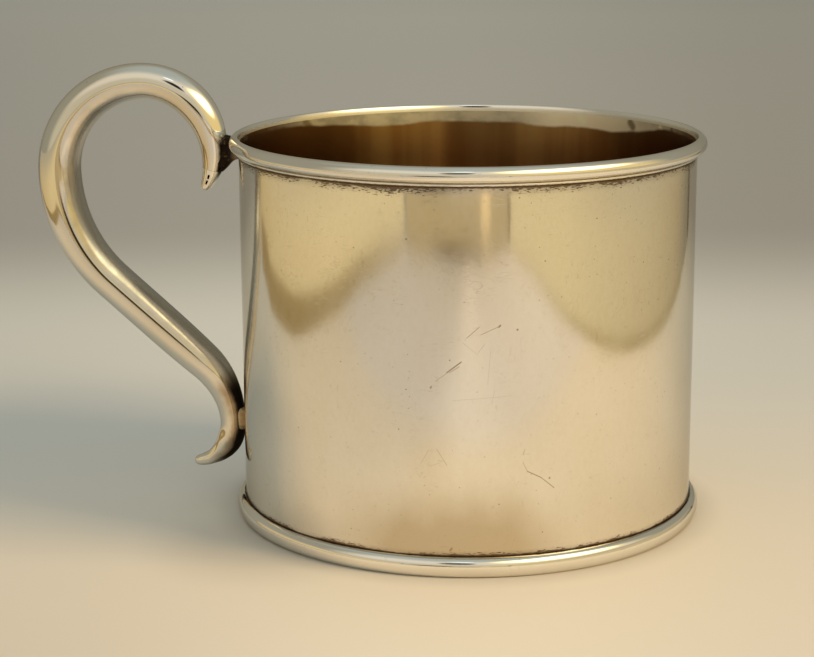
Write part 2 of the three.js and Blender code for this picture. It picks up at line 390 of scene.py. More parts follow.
upArcs, hookArcs = handleArcs()
hookEnd = -sum(length for length, turn in hookArcs)
tailEnd = sum(length for length, turn in upArcs)
upperJointAt = tailEnd - upArcs[-1][0]
crownAt = upperJointAt - upArcs[-2][0]
bellyAt = crownAt - upArcs[-3][0]
lowerEndAt = hookEnd + handle["tipLength"]
upperEndAt = tailEnd - handle["capLength"]


# The centreline at distances t from the lower joint. Along an arc the heading turns evenly, so a
# stretch s that turns by b moves by the chord s sin(b/2)/(b/2) at the heading's middle value.
def handlePath(t):
    reach = np.full(t.shape, lowerReach)
    height = np.full(t.shape, handle["lowerJointHeight"])
    heading = np.where(t < 0, -quarterTurn, quarterTurn)
    for arcs, side in ((upArcs, t >= 0), (hookArcs, t < 0)):
        left = np.where(side, np.abs(t), 0.0)
        for length, turn in arcs:
            step = np.clip(left, 0, length)
            bend = turn * step / length
            chord = step * np.sinc(bend / fullTurn)
            reach = reach + chord * np.cos(heading + bend / 2)
            height = height + chord * np.sin(heading + bend / 2)
            heading = heading + bend
            left = left - step
    return reach, height, heading + np.where(t < 0, math.pi, 0)


# The tube's radius at distances t: the smooth curve through the named radii
def tubeRadius(t):
    limbAt = upArcs[0][0]
    places = {
        "lowerEnd": lowerEndAt,
        "hook": handle["hookShare"] * hookEnd,
        "lower": 0,
        "limb": limbAt,
        "flank": limbAt + upArcs[1][0],
        "belly": bellyAt,
        "crown": crownAt,
        "neck": crownAt + handle["neckShare"] * upArcs[-2][0],
        "upper": upperJointAt,
        "upperEnd": upperEndAt,
    }
    return smoothThrough(t, list(places.values()), [handle[name + "Tube"] for name in places])


# A profile of length t and radius r carried round the centreline:
# point = centre(t) + r (cos(a) normal + sin(a) Y), with the normal in the XZ plane.
# shape(t, radius, angle) may change the radius.
def bentPiece(name, t, radius, sides, loop=False, shape=None):
    angle = np.arange(sides) / sides * fullTurn
    reach, height, heading = (values[:, None] for values in handlePath(t))
    radius = np.broadcast_to(radius[:, None], (len(t), sides))
    if shape:
        radius = shape(t[:, None], radius, angle[None, :])
    aside = radius * np.cos(angle)
    x = cup["axis"] - reach + aside * np.sin(heading)
    z = height + aside * np.cos(heading)
    rings = np.stack([x, radius * np.sin(angle), z], -1)
    return ringMesh(name, rings, loop, t, fullTurn * handle["limbTube"])


# The outer radius along t, and back along the same path with the wall taken off it
def buildTube():
    t = np.arange(lowerEndAt, upperEndAt, handle["step"])
    t = np.append(t[:-1], upperEndAt)
    outer = tubeRadius(t)
    lengths = np.concatenate([t, t[::-1]])
    radii = np.concatenate([outer, outer[::-1] - handle["wall"]])
    piece = bentPiece("handleTube", lengths, radii, handle["sides"], loop=True)
    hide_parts("handle_tube")
    return piece


# The lower tip: radius = (base + (end - base) share^taper) sqrt(1 - share^blunt), a blunt point
def buildLowerTip():
    t = np.linspace(lowerEndAt, hookEnd, 60)
    share = np.linspace(0, 1, 60)
    base, end = handle["lowerEndTube"], handle["tipRadius"]
    taper = base + (end - base) * share ** handle["tipTaper"]
    radius = taper * np.sqrt(np.clip(1 - share ** handle["tipBlunt"], 0, 1))
    radius[-1] = pinhole
    piece = bentPiece("handleLowerTip", t, radius, 72)
    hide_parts("handle_lower_tip")
    return piece


# Two vent slits in the side of the upper cap, counted from the cap's seam
vents = {
    "places": (1.2 * mm, 2.2 * mm),
    "width": 0.3 * mm,
    "length": 0.75 * mm,
    "depth": 0.55 * mm,
    "sideSlope": 0.08 * mm,
    "endSlope": 0.1 * mm,
}


# The upper cap: radius = (base + (end - base) share) sqrt(1 - share^blunt), less the slits' depth
def buildUpperCap():
    share = np.linspace(0, 1, 150)
    t = upperEndAt + share * handle["capLength"]
    base, end = handle["upperEndTube"], handle["capRadius"]
    radius = (base + (end - base) * share) * np.sqrt(np.clip(1 - share ** handle["capBlunt"], 0, 1))
    radius[-1] = pinhole
    halfWidth, halfLength = vents["width"] / 2, vents["length"] / 2

    def shape(along, radius, angle):
        depth = np.zeros(np.broadcast(along, radius).shape)
        aside = np.angle(np.exp(1j * (angle + quarterTurn))) * radius
        wide = smoothStep(-np.abs(aside), -halfWidth, vents["sideSlope"] - halfWidth)
        for place in vents["places"]:
            fromMiddle = np.abs(along - upperEndAt - place)
            long = smoothStep(-fromMiddle, -halfLength, vents["endSlope"] - halfLength)
            depth = np.maximum(depth, wide * long * vents["depth"])
        return radius - depth

    piece = bentPiece("handleUpperCap", t, radius, 260, shape=shape)
    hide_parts("handle_upper_cap")
    return piece


# The surface that a joint meets, as a reach from the drum's axis at the place (y, z).
# The tube runs on a circle of radius bend there, so its near side stands bend + sqrt(r^2 - y^2) from
# that circle's centre, at (centre, jointHeight).
def tubeSide(y, z, tubeCentre, jointHeight, bend, radius):
    out = bend + np.sqrt(np.clip(radius**2 - y**2, joint["leastDepth"] ** 2, None))
    return tubeCentre + bend - np.sqrt(out**2 - (z - jointHeight) ** 2)


# The drum's side, a little way into the sheet: sqrt(R^2 - y^2)
def drumSide(y):
    return np.sqrt((cup["drumRadius"] - joint["sink"]) ** 2 - y**2)


# A piece of solder lofted from the tube, u = 0, to the drum, u = 1. Its section is a rounded box about a
# middle height, with half width = waist + flare |2u - 1|^power, so that both ends run out in a fillet.
# Round the section y = width |cos v|^(2/n) and z = half height |sin v|^(2/n), with their signs, and n is
# its squareness: 2 is an ellipse and more is nearer to a box.
joint = {"sink": 0.25 * mm, "leastDepth": 0.3 * mm, "steps": 44, "sides": 96}


def jointPiece(name, place, tubeAt):
    u = np.linspace(0, 1, joint["steps"])[:, None]
    v = (np.arange(joint["sides"]) / joint["sides"] * fullTurn)[None, :]
    spread = np.abs(2 * u - 1) ** place["power"]
    low = smoothThrough(u, [0, 0.5, 1], place["low"])
    high = smoothThrough(u, [0, 0.5, 1], place["high"])
    ends = np.where(u < 0.5, place["tubeFlare"], place["drumFlare"])
    width = place["waist"] + ends * spread
    square = 2 / place["squareness"]
    cosine, sine = np.cos(v), np.sin(v)
    lumps = 1 + place["lumps"] * (np.sin(3 * v + 5 * u) + np.sin(7 * v - 9 * u + 1)) / 2
    y = width * np.sign(cosine) * np.abs(cosine) ** square * lumps
    z = (low + high) / 2 + (high - low) / 2 * np.sign(sine) * np.abs(sine) ** square * lumps
    start, end = tubeAt(y, z), drumSide(y)
    reach = start + (end - start) * u
    return ringMesh(name, np.stack([cup["axis"] - reach, y, z], -1), girth=4 * mm,
                    along=np.linspace(0, 3 * mm, joint["steps"]))


# The web that fills the corner between the rim, the drum and the top of the tube
bracket = {
    "low": (cup["height"] - 6.9 * mm, cup["height"] - 5.1 * mm, cup["height"] - 5.0 * mm),
    "high": (cup["height"] - 0.7 * mm, cup["height"] - 1.3 * mm, cup["height"] - 1.0 * mm),
    "waist": 0.85 * mm,
    "tubeFlare": 0.75 * mm,
    "drumFlare": 0.95 * mm,
    "power": 2.4,
    "squareness": 2.6,
    "lumps": 0.05,
}


# The joint's loft, with its tube end on the crown's arc at the upper joint
def buildBracket():
    def tubeAt(y, z):
        return tubeSide(y, z, upperReach, handle["upperJointHeight"], handle["crownRadius"],
                        handle["upperTube"] - joint["sink"])

    piece = jointPiece("rimBracket", bracket, tubeAt)
    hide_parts("rim_bracket")
    return piece


# The peg that holds the foot of the handle off the drum
peg = {
    "low": tuple(handle["lowerJointHeight"] - drop * mm for drop in (1.1, 0.75, 1.0)),
    "high": tuple(handle["lowerJointHeight"] + rise * mm for rise in (3.0, 2.7, 2.9)),
    "waist": 1.6 * mm,
    "tubeFlare": 0.25 * mm,
    "drumFlare": 0.35 * mm,
    "power": 3.0,
    "squareness": 4.5,
    "lumps": 0.02,
}


# The joint's loft, with its tube end on the limb's bend above the lower joint and on the hook's below it
def buildPeg():
    def tubeAt(y, z):
        height = handle["lowerJointHeight"]
        bend = np.where(z > height, handle["bendRadius"], handle["hookRadius"])
        return tubeSide(y, z, lowerReach, height, bend, handle["lowerTube"] - joint["sink"])

    piece = jointPiece("lowerPeg", peg, tubeAt)
    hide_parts("lower_peg")
    return piece


pieces = [
    buildDrum(),
    buildBottom(),
    buildRim(),
    buildFoot(),
    buildTube(),
    buildLowerTip(),
    buildUpperCap(),
    buildBracket(),
    buildPeg(),
]
for piece in pieces:
    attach(piece, "root")
print("pieces:", ", ".join(piece.name for piece in pieces))

# The camera stands where the photograph was taken from, looking at the cup from a little above
camera = {
    "lens": 92.92,
    "distance": 342.2 * mm,
    "elevation": math.radians(12.94),
    "azimuth": math.radians(7),  # from straight in front of the handle's plane, towards +X
    "targetHeight": 30 * mm,
    "turnLeft": math.radians(1.68),
    "pitch": math.radians(0.08),
    "roll": math.radians(-0.31),
}


# Its place is target + distance (cos elevation sin azimuth, -cos elevation cos azimuth, sin elevation)
def buildCamera():
    c = camera
    target = Vector((cup["axis"], 0, c["targetHeight"]))
    flat = c["distance"] * math.cos(c["elevation"])
    place = target + Vector((flat * math.sin(c["azimuth"]), -flat * math.cos(c["azimuth"]),
                             c["distance"] * math.sin(c["elevation"])))
    turn = c["azimuth"] + c["turnLeft"]
    down = c["elevation"] + c["pitch"]
    forward = Vector((-math.sin(turn) * math.cos(down), math.cos(turn) * math.cos(down), -math.sin(down)))
    data = bpy.data.cameras.new("camera")
    data.lens = c["lens"]
    data.clip_start, data.clip_end = 0.01, 50
    body = bpy.data.objects.new("camera", data)
    body.matrix_world = (
        Matrix.Translation(place) @ forward.to_track_quat("-Z", "Y").to_matrix().to_4x4()
        @ Matrix.Rotation(c["roll"], 4, "Z")
    )
    bpy.context.scene.collection.objects.link(body)
    bpy.context.scene.camera = body


buildCamera()
print("camera placed")


# A number that a material works out at each point of a surface. Each sign between two numbers, and each
# call of math, adds one Math node to the tree that the first number belongs to.
class Value:
    def __init__(self, socket):
        self.socket = socket

    def math(self, operation, other=0.0, clamp=False):
        inputs = {0: self, 1: other}
        node = addNode(self.socket.id_data, "Math", inputs, operation=operation, use_clamp=clamp)
        return Value(node.outputs[0])

    def __add__(self, other):
        return self.math("ADD", other)

    def __sub__(self, other):
        return self.math("SUBTRACT", other)

    def __mul__(self, other):
        return self.math("MULTIPLY", other)

    def __truediv__(self, other):
        return self.math("DIVIDE", other)

    def __abs__(self):
        return self.math("ABSOLUTE")


# One shader node: inputs are plain numbers, colours, Values or other nodes' output sockets
def addNode(tree, kind, inputs=None, **settings):
    made = tree.nodes.new("ShaderNode" + kind)
    for name, value in settings.items():
        setattr(made, name, value)
    for name, value in (inputs or {}).items():
        source = value.socket if isinstance(value, Value) else value
        if isinstance(source, bpy.types.NodeSocket):
            tree.links.new(source, made.inputs[name])
        else:
            made.inputs[name].default_value = source
    return made


# A material with an empty shader tree
def newMaterial(name):
    material = bpy.data.materials.new(name)
    material.use_nodes = True
    material.node_tree.nodes.clear()
    return material, material.node_tree


# 1 - value
def inverse(value):
    return value * -1.0 + 1.0


def largest(first, *others):
    for other in others:
        first = first.math("MAXIMUM", other)
    return first


# 0 at low and 1 at high, and 3u^2 - 2u^3 between them. Low may be the greater of the two.
def step(value, low, high, kind="SMOOTHSTEP"):
    inputs = {"Value": value, "From Min": low, "From Max": high}
    return Value(addNode(value.socket.id_data, "MapRange", inputs, interpolation_type=kind).outputs[0])


# The colour first + share (second - first)
def blend(share, first, second):
    inputs = {0: share, 6: first, 7: second}
    return addNode(share.socket.id_data, "Mix", inputs, data_type="RGBA").outputs[2]


# Vectors and colours are plain sockets. The next ones work on them, part by part.
def vectorNode(operation, vector, inputs):
    return addNode(vector.id_data, "VectorMath", {0: vector, **inputs}, operation=operation).outputs


def subtract(vector, other):
    return vectorNode("SUBTRACT", vector, {1: other})["Vector"]


def scaled(vector, factor):
    return vectorNode("SCALE", vector, {"Scale": factor})["Vector"]


def dot(vector, other):
    return Value(vectorNode("DOT_PRODUCT", vector, {1: tuple(other)})["Value"])


def lengthOf(vector):
    return Value(vectorNode("LENGTH", vector, {})["Value"])


# The distance from the drum's axis: the length of (x, y, 0)
def radiusOf(place):
    return lengthOf(vectorNode("MULTIPLY", place, {1: (1, 1, 0)})["Vector"])


def partsOf(vector):
    return [Value(part) for part in addNode(vector.id_data, "SeparateXYZ", {0: vector}).outputs]


def vectorOf(tree, *parts):
    return addNode(tree, "CombineXYZ", dict(enumerate(parts))).outputs[0]


# A place in millimetres, counted from the drum's axis and the table
def fromAxis(tree):
    place = addNode(tree, "TexCoord").outputs["Object"]
    inputs = {"Vector": place, "Location": (-cup["axis"] / mm, 0, 0), "Scale": (1 / mm, 1 / mm, 1 / mm)}
    return addNode(tree, "Mapping", inputs).outputs[0]


# Noise of a place in millimetres. The stretch is its waves per millimetre along each axis.
def noise(place, stretch, detail=2.0, shift=0.0):
    stretch = stretch if isinstance(stretch, tuple) else (stretch, stretch, stretch)
    moved = vectorNode("MULTIPLY_ADD", place, {1: stretch, 2: (shift, shift * 1.7, shift * 0.6)})["Vector"]
    inputs = {"Vector": moved, "Scale": 1.0, "Detail": detail}
    return Value(addNode(place.id_data, "TexNoise", inputs).outputs[0])


# Thin winding lines, where a noise passes its middle value: 1 - smooth step of |noise - 1/2|
def hairlines(place, stretch, width, shift):
    return step(abs(noise(place, stretch, 1.0, shift) - 0.5), width, 0.0)


# A straight scratch from start to end: distance = |p - start - t (end - start)|, where
# t = (p - start).(end - start) / |end - start|^2 held between 0 and 1
def stroke(place, start, end, width):
    start, end = Vector((*start, 0)), Vector((*end, 0))
    line = end - start
    offset = subtract(place, tuple(start))
    share = dot(offset, line / line.length_squared).math("MULTIPLY", 1.0, clamp=True)
    inputs = {0: tuple(line), "Scale": share}
    along = addNode(place.id_data, "VectorMath", inputs, operation="SCALE").outputs["Vector"]
    return step(lengthOf(subtract(offset, along)), width, width * 0.2)


# Small round specks: the places nearest to the points of a cell pattern, in some of its cells
def specks(place, perMm, size, share, shift):
    moved = vectorNode("MULTIPLY_ADD", place, {1: (perMm,) * 3, 2: (shift,) * 3})["Vector"]
    cells = addNode(place.id_data, "TexVoronoi", {"Vector": moved, "Scale": 1.0})
    near = step(Value(cells.outputs["Distance"]), size * perMm, size * perMm * 0.3)
    red = Value(addNode(place.id_data, "SeparateColor", {0: cells.outputs["Color"]}).outputs[0])
    return near * red.math("LESS_THAN", share)


# The shader of every piece: bare metal with a bump whose height is in microns
def silver(colour, roughness, microns):
    tree = colour.id_data
    bump = addNode(tree, "Bump", {"Height": microns, "Distance": 1e-6, "Strength": 1.0})
    inputs = {"Base Color": colour, "Metallic": 1.0, "Roughness": roughness,
              "Specular Tint": tones["grazing"], "Normal": bump.outputs[0]}
    addNode(tree, "OutputMaterial", {"Surface": addNode(tree, "BsdfPrincipled", inputs).outputs[0]})


# sRGB values of 0 to 255 as the linear colour that a shader takes
def linear(red, green, blue):
    shares = [value / 255 for value in (red, green, blue)]
    return tuple(v / 12.92 if v <= 0.04045 else ((v + 0.055) / 1.055) ** 2.4 for v in shares) + (1,)


# The floor: a pale cloth that turns grey behind the cup. Each change is a span of distances behind the
# drum's axis, in metres, and the colour that it leads to.
floor = {
    "size": 8.0,
    "roughness": 0.6,
    "nearColour": linear(231, 222, 200),
    "changes": [
        ((-0.085, -0.13), "SMOOTHSTEP", linear(222, 218, 209)),
        ((-0.06, 0.10), "SMOOTHSTEP", linear(207, 208, 197)),
        ((0.12, 0.26), "SMOOTHSTEP", linear(163, 162, 153)),
        ((0.3, 1.0), "LINEAR", linear(179, 177, 163)),
    ],
    "fanFrom": 342.2 * mm,  # the fan below is x / (y + this), so its lines meet at a point in front
    "fanMiddle": -0.035,
    "sides": (0.02, 0.24),
    "sideShade": 0.12,
    # for two corners, the spans of the fan and of the distance behind over which they darken
    "corners": [((0.0, 0.18), (0.05, 0.22)), ((-0.02, -0.19), (0.0, -0.11))],
    "cornerShade": 0.10,
    "contact": [
        # a soft shade close round the foot: centre, where it is full and where it ends, and its depth
        ((cup["axis"], 0.0, 0.0), 0.0365, 0.0430, 0.22),
        ((cup["axis"] - 0.029, -0.027, 0.0), 0.006, 0.022, 0.16),
    ],
}
# The tent: warm cloth walls that show in the silver only. The camera looks through them and they don't
# light the floor.
cloth = (218, 197, 150)
farCloth = (176, 160, 126)
wallHeights = (0.058, 0.058)
walls = [
    # name, footprint, colours at its start and its end, low edge, high edges at its start and its end
    ("wallLeft", [(-0.094, -0.279), (-0.130, -0.235), (-0.150, -0.180), (-0.155, -0.100)],
     cloth, cloth, 0.0, wallHeights),
    ("sideLeft", [(-0.155, -0.100), (-0.155, -0.030), (-0.175, 0.030), (-0.195, 0.050), (-0.212, 0.078)],
     cloth, (194, 172, 126), 0.0, wallHeights),
    ("wallRight", [(0.146, -0.267), (0.171, -0.205), (0.180, -0.130)], cloth, cloth, 0.0, wallHeights),
    ("sideRight", [(0.180, -0.130), (0.179, -0.050), (0.178, 0.030), (0.176, 0.110)],
     cloth, farCloth, 0.0, wallHeights),
    ("turnRight", [(0.176, 0.110), (0.176, 0.165)], farCloth, (150, 141, 118), 0.0, wallHeights),
    ("farRight", [(0.176, 0.165), (0.176, 0.205)], (146, 138, 114), (146, 138, 114), 0.0, wallHeights),
    ("edgeRight", [(0.176, 0.205), (0.176, 0.225)], (84, 76, 58), (84, 76, 58), 0.0, wallHeights),
    ("wallFront", [(-0.094, -0.280), (0.0, -0.283), (0.100, -0.276), (0.146, -0.267)],
     (184, 163, 120), (184, 163, 120), 0.0, (0.021, 0.021)),
    # the three folds are painted shade: dark bands where the tent's walls meet the table
    ("shadedFoldLeft", [(-0.094, -0.277), (-0.128, -0.233), (-0.148, -0.180), (-0.153, -0.100), (-0.153, -0.030),
                  (-0.173, 0.030), (-0.193, 0.050), (-0.210, 0.078)],
     (156, 135, 90), (148, 126, 84), 0.0, (0.003, 0.014)),
    ("shadedFoldRight", [(0.144, -0.265), (0.169, -0.205), (0.178, -0.100), (0.176, 0.0), (0.174, 0.142)],
     (190, 166, 108), (158, 142, 106), 0.0, (0.0025, 0.0035)),
    ("shadedFoldFront", [(-0.090, -0.277), (0.0, -0.280), (0.098, -0.273), (0.142, -0.265)],
     (158, 134, 84), (158, 134, 84), 0.0, (0.0035, 0.0018)),
    ("cornerLeft", [(-0.0945, -0.2775), (-0.0905, -0.2785)], (112, 114, 106), (112, 114, 106), 0.003,
     (0.055, 0.055)),
    ("cornerRight", [(0.1415, -0.2672), (0.1462, -0.2659)], (86, 66, 36), (86, 66, 36), 0.002,
     (0.055, 0.055)),
]
wallTop = {"from": 0.020, "to": 0.057, "colour": linear(176, 167, 144)}


# A mesh of a few flat faces that belongs to the stage
def flatMesh(name, points, faces):
    mesh = bpy.data.meshes.new(name)
    mesh.from_pydata(points, [], faces)
    mesh.update()
    body = bpy.data.objects.new(name, mesh)
    bpy.context.scene.collection.objects.link(body)
    return body


def onlyInSilver(body):
    body.visible_camera = False
    body.visible_diffuse = False
    body.visible_shadow = False


# The floor's colour times 1 - the sum of the shades at its sides and its far right and near left corners,
# and times 1 - depth close to each centre of the contact shade
def buildFloor():
    half = floor["size"] / 2
    corners = [(-half, -half, 0), (half, -half, 0), (half, half, 0), (-half, half, 0)]
    body = flatMesh("floor", corners, [(0, 1, 2, 3)])
    material, tree = newMaterial("floorCloth")
    place = addNode(tree, "TexCoord").outputs["Object"]
    inputs = {"Vector": place, "Location": (cup["axis"], 0, 0),
              "Rotation": (0, 0, camera["azimuth"] + camera["turnLeft"])}
    turned = addNode(tree, "Mapping", inputs, vector_type="TEXTURE").outputs[0]
    aside, behind = partsOf(turned)[:2]
    colour = floor["nearColour"]
    for (start, end), kind, nextColour in floor["changes"]:
        colour = blend(step(behind, start, end, kind), colour, nextColour)
    fan = aside / (behind + floor["fanFrom"]).math("MAXIMUM", 0.1)
    light = inverse(step(abs(fan - floor["fanMiddle"]), *floor["sides"]) * floor["sideShade"])
    for fanSpan, behindSpan in floor["corners"]:
        light = light - step(fan, *fanSpan) * step(behind, *behindSpan) * floor["cornerShade"]
    for centre, full, end, depth in floor["contact"]:
        light = light * inverse(step(lengthOf(subtract(place, centre)), end, full) * depth)
    shaded = scaled(colour, light)
    surface = addNode(tree, "BsdfPrincipled", {"Base Color": shaded, "Roughness": floor["roughness"]})
    addNode(tree, "OutputMaterial", {"Surface": surface.outputs[0]})
    body.data.materials.append(material)


# Cloth that goes from one end's colour to the other's along y, and to the top's colour with its height
def clothWall(name, colour, endColour, startAt, endAt):
    material, tree = newMaterial(name)
    x, y, z = partsOf(addNode(tree, "TexCoord").outputs["Object"])
    side = blend(step(y, startAt, endAt, "LINEAR"), colour, endColour)
    shown = blend(step(z, wallTop["from"], wallTop["to"]), side, wallTop["colour"])
    addNode(tree, "OutputMaterial", {"Surface": addNode(tree, "Emission", {"Color": shown}).outputs[0]})
    return material


# Each wall stands on its footprint, and its top runs evenly from one high edge to the other
def buildWalls():
    for name, footprint, colour, endColour, lowEdge, highEdges in walls:
        count = len(footprint)
        tops = np.linspace(highEdges[0], highEdges[1], count)
        points = [(x, y, lowEdge) for x, y in footprint]
        points += [(x, y, top) for (x, y), top in zip(footprint, tops)]
        faces = [(i, i + 1, count + i + 1, count + i) for i in range(count - 1)]
        wall = flatMesh(name, points, faces)
        ends = footprint[0][1], footprint[-1][1]
        wall.data.materials.append(clothWall(name, linear(*colour), linear(*endColour), *ends))
        onlyInSilver(wall)


# Flat cards that face the cup, and fade out at their edges
cards = [
    # name, middle, width, height, middle colour, edge colour, strength, where the fade begins, and
    # whether the card stands upright
    ("coolWindow", (0.060, -0.587, 0.850), 0.20, 0.11, (214, 232, 244), (190, 215, 225), 1.9, 0.6, False),
    ("darkShape", (0.050, -0.850, 0.600), 0.32, 0.36, (34, 32, 26), (50, 48, 40), 1.0, 0.55, False),
    ("lampGlow", (0.262, -0.145, 0.282), 0.56, 0.34, (255, 246, 212), (242, 221, 160), 2.3, 0.5, False),
    ("roomFront", (-0.050, -0.450, 0.033), 0.190, 0.092, (44, 36, 22), (60, 52, 34), 1.0, 0.6, True),
    ("stripe", (0.090, -0.2690, 0.0160), 0.032, 0.030, (246, 214, 156), (240, 210, 152), 1.0, 0.2, True),
    # the smudge card is a painted shadow along the foot of the front wall
    ("panelFootShadow", (0.030, -0.2750, 0.0018), 0.160, 0.0075, (84, 64, 24), (108, 88, 46), 1.0, 0.45, True),
]
cardSquareness = 2.4  # 2 would make the cards ellipses
cardAimHeight = 0.04


# reach = (|a|^n + |b|^n)^(1/n), with a and b the place in half widths and half heights from the middle and
# n the squareness. The card shows where a smooth step of the reach, from 1 down to the fade, is above 0.
def softCard(name, middle, side, rise, colour, edge, strength, fade):
    material, tree = newMaterial(name)
    offset = subtract(addNode(tree, "TexCoord").outputs["Object"], tuple(middle))
    across = dot(offset, side.normalized()) / side.length
    upward = dot(offset, rise.normalized()) / rise.length
    powers = [abs(part).math("POWER", cardSquareness) for part in (across, upward)]
    reach = (powers[0] + powers[1]).math("POWER", 1 / cardSquareness)
    share = step(reach, 1.0, fade)
    tone = blend(step(reach, 0.9, 0.2), linear(*edge), linear(*colour))
    glow = addNode(tree, "Emission", {"Color": tone, "Strength": share * (strength - 1) + 1.0})
    clear = addNode(tree, "BsdfTransparent")
    mixed = addNode(tree, "MixShader", {0: share, 1: clear.outputs[0], 2: glow.outputs[0]})
    addNode(tree, "OutputMaterial", {"Surface": mixed.outputs[0]})
    return material


# A card's corners are middle +- side +- rise, with both at right angles to the way to the drum's axis
def buildCards():
    for name, place, width, height, colour, edge, strength, fade, upright in cards:
        middle = Vector(place)
        aim = Vector((cup["axis"], 0, place[2] if upright else cardAimHeight))
        facing = (aim - middle).normalized()
        side = Vector((0, 0, 1)).cross(facing).normalized() * width / 2
        rise = facing.cross(side).normalized() * height / 2
        corners = [middle - side - rise, middle + side - rise, middle + side + rise, middle - side + rise]
        card = flatMesh(name, [tuple(corner) for corner in corners], [(0, 1, 2, 3)])
        card.data.materials.append(softCard(name, middle, side, rise, colour, edge, strength, fade))
        onlyInSilver(card)


# The one lamp, warm and off to the right
lamp = {
    "place": (1.14, -0.26, 0.80),
    "aim": (0.0, 0.0, 0.03),
    "size": (0.56, 0.38),
    "radiance": 24.0,
    "colour": (1.0, 0.70, 0.40),
}


# Power = radiance pi width height
def buildLamp():
    data = bpy.data.lights.new("keyLamp", "AREA")
    data.shape = "RECTANGLE"
    width, height = lamp["size"]
    data.size, data.size_y = width, height
    data.energy = lamp["radiance"] * math.pi * width * height
    data.color = lamp["colour"]
    body = bpy.data.objects.new("keyLamp", data)
    place = Vector(lamp["place"])
    turn = (Vector(lamp["aim"]) - place).to_track_quat("-Z", "Y")
    body.matrix_world = Matrix.Translation(place) @ turn.to_matrix().to_4x4()
    body.visible_camera = False
    body.visible_glossy = False
    bpy.context.scene.collection.objects.link(body)


# The air beyond the tent. Diffuse rays find an even pale light. The silver finds grey behind the cup,
# warm cloth in front, yellower to the right, and cool daylight above.
sky = {
    "light": (0.93, 0.975, 1.0, 1),
    "lightStrength": 0.64,
    "behind": linear(150, 147, 132),
    "front": linear(196, 188, 166),
    "frontSpan": (-0.15, 0.4),
    "right": linear(232, 206, 142),
    "rightSpan": (0.1, 0.7),
    "upper": linear(222, 214, 198),
    "upperSpan": (0.25, 0.55),
    "above": linear(168, 175, 170),
    "aboveSpan": (0.70, 1.0),
}


# Each colour comes in with a smooth step of the direction's x, y or z
def buildWorld():
    world = bpy.data.worlds.new("studioAir")
    bpy.context.scene.world = world
    world.use_nodes = True
    tree = world.node_tree
    tree.nodes.clear()
    x, y, z = partsOf(addNode(tree, "TexCoord").outputs["Generated"])
    inFront = step(x * 0.45 - y, *sky["frontSpan"])
    warm = blend(step(x, *sky["rightSpan"]), sky["front"], sky["right"])
    dome = blend(inFront, sky["behind"], warm)
    dome = blend(step(z, *sky["upperSpan"]) * inFront, dome, sky["upper"])
    dome = blend(step(z, *sky["aboveSpan"]), dome, sky["above"])
    ray = addNode(tree, "LightPath")
    mirrored = addNode(tree, "Background", {"Color": dome})
    even = addNode(tree, "Background", {"Color": sky["light"], "Strength": sky["lightStrength"]})
    inputs = {0: ray.outputs["Is Glossy Ray"], 1: even.outputs[0], 2: mirrored.outputs[0]}
    addNode(tree, "OutputWorld", {"Surface": addNode(tree, "MixShader", inputs).outputs[0]})


# Silver colours, from bright metal to black tarnish, and a few tones of painted light and reflection
tones = {
    "grazing": (0.72, 0.70, 0.66, 1),
    "bright": (0.94, 0.90, 0.82, 1),
    "polished": (0.95, 0.92, 0.85, 1),
    "patina": (0.85, 0.77, 0.63, 1),
    "grey": (0.43, 0.41, 0.37, 1),
    "tableReflectionTone": (0.78, 0.64, 0.42, 1),
    "brown": (0.30, 0.20, 0.10, 1),
    "grime": (0.115, 0.065, 0.030, 1),
    "black": (0.022, 0.016, 0.012, 1),
    "inside": (0.55, 0.32, 0.11, 1),
    "insideDark": (0.41, 0.205, 0.065, 1),
    "insideBlack": (0.16, 0.072, 0.022, 1),
    "amber": (0.60, 0.34, 0.115, 1),
    "plate": (0.46, 0.36, 0.24, 1),
    "plateDark": (0.27, 0.20, 0.12, 1),
    "band": (0.40, 0.35, 0.26, 1),
    "bandBright": (0.60, 0.52, 0.37, 1),
    "bandPaintedGlow": (0.98, 0.84, 0.60, 1),
    "lip": (0.84, 0.77, 0.62, 1),
    "smear": (0.20, 0.14, 0.065, 1),
    "paintedGlint": (1.0, 0.93, 0.64, 1),
    "foot": (0.63, 0.54, 0.40, 1),
    "solder": (0.70, 0.60, 0.40, 1),
    "drumSolder": (0.34, 0.27, 0.19, 1),
}

# Scratches on the drum, seen unrolled: around is counted from the front, both in millimetres
scratches = [
    # start, end, width, depth from 0 to 1
    ((-0.1, 30.0), (1.9, 31.5), 0.08, 0.55), ((1.5, 31.3), (3.6, 32.9), 0.13, 1.0),
    ((1.9, 31.3), (3.3, 32.2), 0.10, 0.6), ((4.4, 36.5), (6.2, 38.1), 0.08, 0.6),
    ((6.5, 37.0), (9.2, 38.2), 0.08, 0.6), ((9.1, 38.1), (9.3, 38.3), 0.20, 1.0),
    ((6.1, 34.3), (7.0, 35.5), 0.08, 0.4), ((3.8, 35.8), (6.0, 34.0), 0.06, 0.3),
    ((7.5, 29.5), (7.9, 34.6), 0.06, 0.3), ((2.4, 27.1), (11.0, 27.7), 0.06, 0.3),
    ((-2.4, 17.3), (-1.2, 19.4), 0.07, 0.35), ((0.0, 19.6), (1.5, 17.2), 0.08, 0.5),
    ((-1.0, 17.0), (0.6, 17.6), 0.07, 0.3), ((12.8, 18.6), (13.1, 19.4), 0.10, 0.5),
    ((12.8, 17.4), (13.5, 16.0), 0.08, 0.6), ((13.5, 16.0), (15.6, 14.9), 0.11, 1.0),
    ((15.6, 14.9), (17.7, 13.1), 0.10, 0.9), ((8.1, 26.5), (8.5, 28.6), 0.06, 0.3),
    ((-0.9, 28.9), (-0.8, 29.1), 0.22, 0.8), ((2.0, 4.0), (2.2, 4.3), 0.25, 0.9),
]
